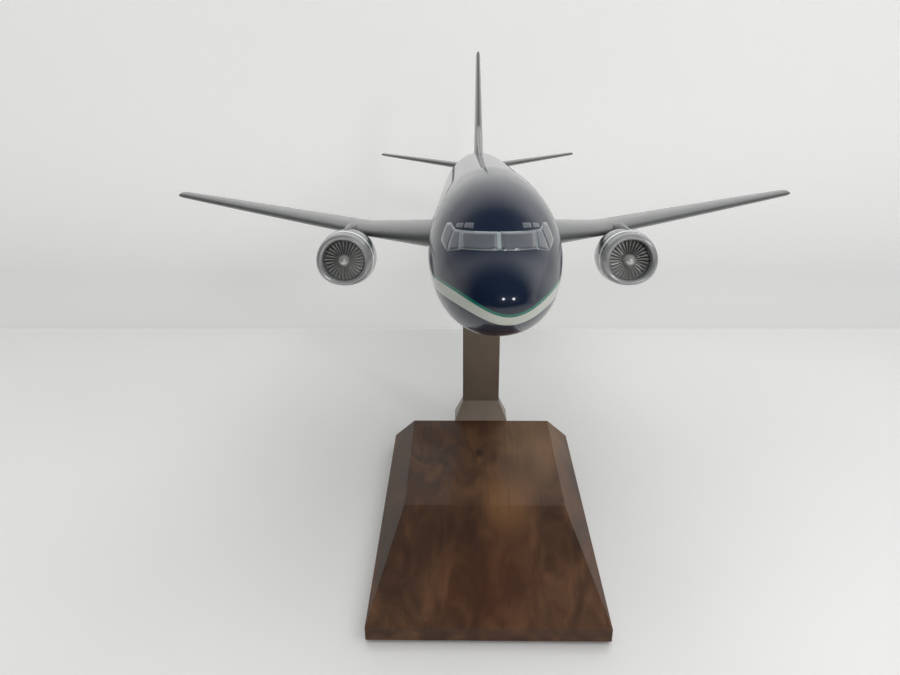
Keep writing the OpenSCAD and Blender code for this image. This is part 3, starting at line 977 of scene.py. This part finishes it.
FIN_SURFACE = upright(blade(FIN_SECTIONS, lambda x: 0.0, FIN_TIP_DEPTH))
FILLET_SURFACE = upright(blade(FILLET_SECTIONS, lambda x: 0.0, FILLET_TIP_DEPTH))


def tail():
    parts = [
        blade_mesh(surface, sections[0][0], sections[-1][0], depth, steps)
        for surface, sections, depth, steps in (
            (FIN_SURFACE, FIN_SECTIONS, FIN_TIP_DEPTH, 30),
            (FILLET_SURFACE, FILLET_SECTIONS, FILLET_TIP_DEPTH, 16),
        )
    ]
    piece("fin_skin", join(parts), "fin_paint", "aircraft", ("tail_fin",))
    lines = []
    for lower in (0, 1):
        inside = Vector((40 if lower else -40, 290, 50))
        lines += control_lines(FIN_SURFACE, *RUDDER, TAIL_HINGE, TAIL_EDGE, inside, lower, RUDDER[1:])
    piece("rudder_lines", join(lines), "line_grey", "aircraft")
    for side, word in SIDES:
        part = blade_mesh(TAIL_SURFACE, TAIL_ROOT[0], TAIL_TIP[0], TAIL_TIP_DEPTH, 30)
        piece("tailplane_skin_" + word, mirrored(part, side),
              "wing_paint", "aircraft", ("tailplane_" + word,))
        lines = []
        for lower in (0, 1):
            inside = Vector((30, 300, 60 if lower else -60))
            lines += control_lines(TAIL_SURFACE, *ELEVATOR, TAIL_HINGE, TAIL_EDGE, inside, lower,
                                   ELEVATOR[1:], ELEVATOR_LINE)
        piece("elevator_lines_" + word, mirrored(join(lines), side),
              "line_grey", "aircraft")


# ---------------------------------------------------------------- engines

# Outlines of a cowl from its lip back: distance and radius
COWL_OUTER = [
    (0.0, 9.15), (0.28, 9.75), (0.95, 10.2), (3, 10.65), (7, 11.15), (12, 11.3), (18, 10.8),
    (23, 9.6), (27.5, 8.2),
]
COWL_INNER = [
    (0.0, 9.15), (0.25, 8.55), (0.9, 8.1), (3, 7.92), (6, 7.85), (15, 7.85), (18, 8.0),
    (23, 8.1), (27.5, 7.85),
]
LIP_R = COWL_OUTER[0][1]
LIP_END = 3.0
# Back face of the lip ring, which lies inside the cowl
LIP_BACK = [(LIP_END - 0.02, 10.2), (LIP_END - 0.02, 8.3)]
ENGINE_STEPS = 128
COWL_LENGTH = COWL_OUTER[-1][0]
MOUTH_FLAT_END = 3.4
FLATNESS = 0.11
FAN_FACE = 3.6
FAN_R = 7.7
HUB_R = 2.4
SPINNER = 2.8
FAN_BLADES = 30
# Hub behind the spinner: distance behind the fan's face and radius
HUB_BACK = [(0.6, HUB_R + 0.05), (2.9, HUB_R + 0.1), (3.2, HUB_R)]
BLADE_ROOT_R = HUB_R - 0.2
BLADE_MIDDLE = FAN_FACE + 1.35
# A blade's pitch in degrees and its chord, at its root and how much more at its tip
BLADE_PITCH = (22, 34)
BLADE_CHORD = (1.5, 0.55)
# Section of a blade: share of the chord and thickness
BLADE_SECTION = ((-0.5, 0), (-0.3, 0.09), (0.1, 0.11), (0.5, 0.02), (0.1, -0.05), (-0.3, -0.05))
BACKING_FACE = FAN_FACE + 3.5
BACKING_BACK = BACKING_FACE + 0.25
BACKING_R = 7.8
BACKING_HOLE = 1.1
ENGINE_X = JOINTS["fan_left_spin"]["pos_m"][0] / MM
ENGINE_Y = 109.2
ENGINE_Z = -15.4


def engine_matrix(side):
    """Frame of an engine: +Z aft along its shaft, zero at the inlet lip, +Y down."""
    return (BODY @ Matrix.Translation((side * ENGINE_X, ENGINE_Y, ENGINE_Z))
            @ Matrix.Rotation(-math.pi / 2 - ENGINE_DROOP, 4, "X"))


def flattened(angle, radius, along):
    """The underside of a cowl and of its mouth is a little flat; the bore is round at the fan."""
    down = max(0.0, math.sin(angle))
    if radius > LIP_R:
        share = 1 - 0.5 * along / COWL_LENGTH
    else:
        share = max(0.0, 1 - along / MOUTH_FLAT_END) ** 0.7
    return radius * (1 - FLATNESS * share * down**3)


def engines():
    outer = curve_through(COWL_OUTER, 10)
    inner = curve_through(COWL_INNER, 10)
    for side, word in SIDES:
        place = engine_matrix(side)
        lip = [tuple(p) for p in inner if p[0] <= LIP_END][::-1]
        lip += [tuple(p) for p in outer if p[0] <= LIP_END][1:] + LIP_BACK
        piece("inlet_ring_" + word, tube(turned(lip, ENGINE_STEPS, flattened)),
              "bare_metal", "aircraft", ("inlet_lip_" + word,), place)
        skin = [tuple(p) for p in outer if p[0] >= LIP_END]
        bore = [tuple(p) for p in inner if p[0] >= LIP_END][::-1]
        piece("cowl_skin_" + word, tube(turned(skin + bore, ENGINE_STEPS, flattened)),
              "cowl_paint", "aircraft", ("nacelle_cowl_" + word,), place)
        disc = [(BACKING_FACE, BACKING_HOLE), (BACKING_FACE, BACKING_R),
                (BACKING_BACK, BACKING_R), (BACKING_BACK, BACKING_HOLE)]
        piece("fan_backing_" + word, tube(turned(disc)),
              "fan_backing", "aircraft", (), place)
        fan(side, word, place)
        pylon(side, word)


def fan(side, word, place):
    """Bladed fan with a rounded spinner; it turns on the fan's own body."""
    dome = [(FAN_FACE - SPINNER * math.cos(a), HUB_R * math.sin(a))
            for a in np.linspace(0.03, math.pi / 2, 20)]
    hub = dome + [(FAN_FACE + back, radius) for back, radius in HUB_BACK]
    parts = [loft(turned(hub, 48))]
    for k in range(FAN_BLADES):
        turn = Matrix.Rotation(side * math.tau * k / FAN_BLADES, 4, "Z")
        rings = []
        for share in np.linspace(0, 1, 9):
            r = BLADE_ROOT_R + (FAN_R - BLADE_ROOT_R) * share
            pitch = math.radians(BLADE_PITCH[0] + BLADE_PITCH[1] * share)
            chord = BLADE_CHORD[0] + BLADE_CHORD[1] * share
            ring = []
            for c, t in BLADE_SECTION:
                along = c * chord * math.cos(pitch) + t * math.sin(pitch)
                across = c * chord * math.sin(pitch) - t * math.cos(pitch) + 0.25 * (c * c) * share
                ring.append(turn @ Vector((r * math.cos(across / r), side * r * math.sin(across / r),
                                           BLADE_MIDDLE + along)))
            rings.append(ring)
        parts.append(loft(rings))
    piece("fan_disc_" + word, join(parts),
          "fan_metal", "fan_" + word, ("fan_" + word,), place)


# Upper and lower outline of a pylon: distance behind the nose and height
PYLON_TOP = [(112.5, -6.4), (115, -5.0), (121, -3.9), (130, -3.6), (138, -4.3), (147, -5.6),
             (160, -8.0), (172, -9.4)]
PYLON_BOTTOM = [(112.5, -8.4), (122, -9.0), (133, -12.5), (145, -14.0), (160, -12.6), (172, -9.6)]
PYLON_FRONT = 112.6
PYLON_BACK = 171.5


def pylon(side, word):
    """Pylon from the cowl's crown up over the wing's leading edge, with rounded shoulders."""
    ys = np.linspace(PYLON_FRONT, PYLON_BACK, 48)
    tops = smooth_fit(*zip(*PYLON_TOP), ys)
    bottoms = smooth_fit(*zip(*PYLON_BOTTOM), ys)
    rings = []
    for y, top, bottom in zip(ys, tops, bottoms):
        share = (y - ys[0]) / (ys[-1] - ys[0])
        half = 0.35 + 1.15 * math.sin(math.pi * min(1, 0.08 + share * 0.92)) ** 0.6
        ring = []
        for i in range(24):
            a = math.tau * i / 24
            c, s = math.cos(a), math.sin(a)
            wide = half * (1 + 0.5 * max(0, -s))
            ring.append((ENGINE_X + wide * math.copysign(abs(c) ** 0.8, c), y,
                         (top + bottom) / 2 + (top - bottom) / 2 * math.copysign(abs(s) ** 0.7, s)))
        rings.append(ring)
    piece("pylon_skin_" + word, mirrored(loft(rings), side),
          "wing_paint", "aircraft", ("pylon_" + word,))


# ---------------------------------------------------------------- stand


def plan_box(node):
    """Low and high corner of a CAD node, in millimetres."""
    low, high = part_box(node)
    return [v / MM for v in low], [v / MM for v in high]


def softened(obj, width, segments=3):
    """Rounds the sharp edges of a piece."""
    bevel = obj.modifiers.new("soft_edges", "BEVEL")
    bevel.width = width * MM
    bevel.segments = segments
    bevel.limit_method = "ANGLE"
    bevel.angle_limit = math.radians(20)
    bevel.harden_normals = True


EDGE_H = 6.9
CHAMFER_IN = 9.7
SLOPE_RUN = 58


def block():
    """Wooden block: three chamfered sides, a long front slope and a square back."""
    (x0, y0, z0), (x1, y1, z1) = plan_box("base_block")
    crease = y0 + SLOPE_RUN
    xi0, xi1 = x0 + CHAMFER_IN, x1 - CHAMFER_IN
    verts = [
        (x0, y0, z0), (x1, y0, z0), (x1, y1, z0), (x0, y1, z0),
        (x0, y0, EDGE_H), (x1, y0, EDGE_H), (x1, y1, EDGE_H), (x0, y1, EDGE_H),
        (xi0, crease, z1), (xi1, crease, z1), (xi1, y1, z1), (xi0, y1, z1),
    ]
    faces = [
        (0, 3, 2, 1), (0, 1, 5, 4), (1, 2, 6, 5), (3, 0, 4, 7), (2, 3, 7, 11, 10, 6),
        (4, 5, 9, 8), (8, 9, 10, 11), (5, 6, 10, 9), (7, 4, 8, 11),
    ]
    obj = piece("walnut_block", (verts, faces), "walnut", "stand",
                ("base_block",), WORLD, False)
    softened(obj, 0.35)


STRUT_W = 18
STRUT_T = 5
FLARE_W = 26
FLARE_H = 8
NECK_DOWN = 23
TOP_DOWN = 4
BOSS_R = 5.5
# The boss with its bore: distance below the strut's top and radius
BOSS_OUTLINE = [(21, 2.4), (15.3, 5.3), (14.5, BOSS_R), (0.5, BOSS_R),
                (0, 5.0), (0, 2.55), (12, 2.55)]


def strut():
    """Flat bar behind the block: foot plate, flare, straight bar and round boss."""
    (_, y0, z0), (_, y1, z1) = plan_box("stand_strut")
    block_top = plan_box("base_block")[1][2]
    flare_top = block_top + FLARE_H
    bar_front = y1 - STRUT_T
    w, b = FLARE_W / 2, STRUT_W / 2
    neck = z1 - NECK_DOWN
    levels = [
        (z0, w, y0, y1), (block_top, w, y0, y1), (flare_top, b, bar_front, y1),
        (neck, b, bar_front, y1), (z1 - TOP_DOWN, BOSS_R, bar_front, y1),
    ]
    rings = [[(-half, front, z), (half, front, z), (half, back, z), (-half, back, z)]
             for z, half, front, back in levels]
    obj = piece("strut_bar", loft(rings),
                "bronzed_metal", "stand", ("stand_strut",), WORLD, False)
    softened(obj, 0.35)
    rings = turned([(z1 - down, radius) for down, radius in BOSS_OUTLINE], 64)
    boss = piece("strut_boss", loft([[(x, y + POST_Y, z) for x, y, z in ring] for ring in rings]),
                 "bronzed_metal", "stand", (), WORLD)
    softened(boss, 0.2)


PAD_CORNER_R = 3.0
PAD_CORNER_STEPS = 10


def pad():
    """Thin pad with round corners under the block."""
    (x0, y0, z0), (x1, y1, z1) = plan_box("base_pad")
    r = PAD_CORNER_R
    outline = []
    corners = ((x1 - r, y1 - r), (x0 + r, y1 - r), (x0 + r, y0 + r), (x1 - r, y0 + r))
    for quarter, (cx, cy) in enumerate(corners):
        for k in range(PAD_CORNER_STEPS + 1):
            a = math.radians(90 * quarter + 90 * k / PAD_CORNER_STEPS)
            outline.append((cx + r * math.cos(a), cy + r * math.sin(a)))
    rings = [[(x, y, z) for x, y in outline] for z in (z0, z1)]
    obj = piece("block_pad", loft(rings),
                "pad_rubber", "stand", ("base_pad",), WORLD, False)
    softened(obj, 0.15, 2)


# ---------------------------------------------------------------- carried-over CAD nodes

NODE_LOOKS = {
    "strut_screws": "screw_steel",
    "pivot_post": "post_steel",
    "post_washer": "washer_nylon",
    "socket_block": "inner_wood",
    "mount_socket": "brass",
    "wing_spar": "post_steel",
    "tailplane_spar": "post_steel",
}
ENGINE_NODE_LOOKS = {
    "fan_frame": "fan_dark",
    "fan_pin": "post_steel",
    "core_nozzle": "nozzle_metal",
    "exhaust_plug": "nozzle_metal",
}


def dress_nodes():
    for node, look in ENGINE_NODE_LOOKS.items():
        for _, word in SIDES:
            NODE_LOOKS[node + "_" + word] = look
    for node, look in NODE_LOOKS.items():
        obj = frame["nodes"][node]
        obj.data.materials.clear()
        obj.data.materials.append(LOOKS[look])


# ---------------------------------------------------------------- room and light

FLOOR_BACK = 217
WALL_BACK = 330
ROOM_HALF = 1600
TABLE_FRONT = -1800
WALL_TOP = 330
WALL_FOOT = -500
# Heights in metres between which the wall's glow changes
WALL_GLOW_SPAN = (-0.05, 0.2)
WALL_GLOW_LOW = 0.52
WALL_GLOW_HIGH = 0.41


def flat(x_half, corners):
    """Corners of a rectangle across the room, from its (y, z) edges."""
    (y0, z0), (y1, z1) = corners
    return [(-x_half, y0, z0), (x_half, y0, z0), (x_half, y1, z1), (-x_half, y1, z1)]


def backdrop():
    """Pale table top, a wall behind it that is clear from its back, and the floor beyond."""
    table = Look("table_top")
    soft = table.noise(table.place, 5, 3)
    table.set(Base_Color=table.mix(soft, (0.68, 0.68, 0.67), (0.74, 0.74, 0.73)),
              Roughness=0.35, Specular_IOR_Level=0.4)
    wall = Look("wall_paint")
    grain = wall.noise(wall.place, 900, 3)
    wall_tone = wall.mix(grain, (0.73, 0.73, 0.72), (0.75, 0.75, 0.74))
    height = wall.xyz()[2]
    from_back = wall.add("NewGeometry").outputs["Backfacing"]
    wall.set(Base_Color=wall_tone, Roughness=0.8, Emission_Color=wall_tone,
             Emission_Strength=wall.span(height, *WALL_GLOW_SPAN, WALL_GLOW_LOW, WALL_GLOW_HIGH),
             Alpha=wall.math("SUBTRACT", 1.0, from_back))
    for name, look, edges in (
        ("table_top", table, ((TABLE_FRONT, 0), (FLOOR_BACK, 0))),
        ("floor_behind", table, ((WALL_BACK, 0), (-TABLE_FRONT, 0))),
        ("wall", wall, ((WALL_BACK, WALL_FOOT), (WALL_BACK, WALL_TOP))),
    ):
        mesh = bpy.data.meshes.new(name)
        mesh.from_pydata([tuple(c * MM for c in v) for v in flat(ROOM_HALF, edges)], [], [(0, 1, 2, 3)])
        mesh.materials.append(look.material)
        obj = bpy.data.objects.new(name, mesh)
        link(obj)


ROOM_GLOW = 0.75
ROOM_GLOW_RIGHT = 0.3
ROOM_GLOW_HIGH = 0.1
GLOW_HIGH_SPAN = (0.2, 0.55)
BACKDROP_GLOW = 0.68
GLOW_TOWARDS = (0, 1, -0.6)
GLOW_FROM = -0.22
GLOW_TO = 0.35


def world_light():
    """White glow round the wall that fades overhead; the camera's side of the room is dark."""
    world = bpy.data.worlds.new("room")
    bpy.context.scene.world = world
    world.use_nodes = True
    nodes = Nodes(world.node_tree)
    place = nodes.add("TexCoord").outputs["Generated"]
    towards = nodes.add("VectorMath")
    towards.operation = "DOT_PRODUCT"
    nodes.feed(towards.inputs[0], place)
    towards.inputs[1].default_value = GLOW_TOWARDS
    fade = nodes.span(towards.outputs["Value"], GLOW_FROM, GLOW_TO)
    split = nodes.add("SeparateXYZ")
    nodes.feed(split.inputs[0], place)
    sideways = nodes.math("MULTIPLY_ADD", split.outputs[0], ROOM_GLOW_RIGHT, ROOM_GLOW)
    high = nodes.span(split.outputs[2], *GLOW_HIGH_SPAN, 0.0, ROOM_GLOW_HIGH)
    glow = nodes.math("MULTIPLY", fade, nodes.math("ADD", sideways, high))
    seen = nodes.add("Mix")
    nodes.feed(seen.inputs["Factor"], nodes.add("LightPath").outputs["Is Camera Ray"])
    nodes.feed(seen.inputs["A"], glow)
    seen.inputs["B"].default_value = BACKDROP_GLOW
    background = nodes.add("Background")
    background.inputs["Color"].default_value = (1.0, 0.995, 0.985, 1)
    nodes.feed(background.inputs["Strength"], seen.outputs["Result"])
    nodes.feed(nodes.add("OutputWorld").inputs["Surface"], background.outputs[0])


# Lights: name, place, aim, size, power and whether gloss paint shows them
LIGHTS = (
    ("overhead", (220, 200, 1500), (0, 60, 60), 2600, 31, False),
    ("front_fill", (150, -1000, 600), (0, 0, 80), 900, 3.0, False),
    ("lamp_near", (122, -667, 530), (0, -100, 140), 120, 0.7, True),
    ("lamp_side", (495, -493, 443), (0, -100, 140), 120, 0.7, True),
)


def lights():
    for name, place, aim, size, power, seen_in_gloss in LIGHTS:
        data = bpy.data.lights.new(name, "AREA")
        data.shape = "DISK"
        data.size = size * MM
        data.energy = power
        light = bpy.data.objects.new(name, data)
        link(light)
        light.location = Vector(place) * MM
        light.rotation_mode = "QUATERNION"
        light.rotation_quaternion = (Vector(aim) - Vector(place)).to_track_quat("-Z", "Y")
        light.visible_glossy = seen_in_gloss


# ---------------------------------------------------------------- camera

CAMERA_PLACE = (-8.6, -251.8, 200.5)
CAMERA_PITCH = math.radians(23.84)
CAMERA_YAW = math.radians(-1.19)
CAMERA_ROLL = math.radians(-0.45)
CAMERA_LENS = 28.9
CAMERA_SENSOR = 36


def camera():
    data = bpy.data.cameras.new("camera")
    data.lens = CAMERA_LENS
    data.sensor_width = CAMERA_SENSOR
    data.clip_start = 0.01
    data.clip_end = 50
    obj = bpy.data.objects.new("camera", data)
    link(obj)
    obj.matrix_world = (
        Matrix.Translation(Vector(CAMERA_PLACE) * MM)
        @ Matrix.Rotation(-CAMERA_YAW, 4, "Z")
        @ Matrix.Rotation(math.pi / 2 - CAMERA_PITCH, 4, "X")
        @ Matrix.Rotation(CAMERA_ROLL, 4, "Z")
    )
    bpy.context.scene.camera = obj


# ---------------------------------------------------------------- build

LOOKS = {
    "hull_paint": livery(),
    "cowl_paint": cowl_paint(),
    "walnut": walnut(),
    "bronzed_metal": bronzed(),
    "pad_rubber": rubber("pad_rubber", srgb(38, 38, 40)),
    "pane": painted("window_pane", PANE, 0.3, 1.0),
    "post_paint": painted("post_paint", srgb(138, 147, 149), 0.35, 1.0),
    "pane_frame": painted("window_frame", PANE_EDGE, 0.35, 1.0),
    "wing_paint": painted("wing_paint", WING_GREY, 0.4, 0.6),
    "fin_paint": painted("fin_paint", FIN_GREY, 0.4, 0.6),
    "line_grey": painted("line_grey", srgb(74, 76, 78), 0.5, 0.2),
    "bare_metal": metal("bare_metal", srgb(168, 169, 169), 0.26, metallic=0.45),
    "fan_metal": metal("fan_metal", srgb(206, 206, 204), 0.2, metallic=0.6),
    "fan_dark": metal("fan_dark", srgb(60, 62, 64), 0.4),
    "fan_backing": backing(),
    "nozzle_metal": metal("nozzle_metal", srgb(140, 136, 130), 0.35),
    "screw_steel": metal("screw_steel", srgb(170, 170, 168), 0.3),
    "post_steel": metal("post_steel", srgb(185, 186, 188), 0.2),
    "washer_nylon": rubber("washer_nylon", srgb(46, 46, 48)),
    "brass": metal("socket_brass", srgb(190, 156, 92), 0.3),
    "inner_wood": rubber("inner_wood", srgb(176, 142, 98)),
}

hull()
belly_fairing()
cockpit_windows()
centre_post()
cabin_decals()
wings()
flap_fairings()
tail()
engines()
block()
strut()
pad()
dress_nodes()
backdrop()
world_light()
lights()
camera()
bpy.context.scene.view_settings.view_transform = "Standard"
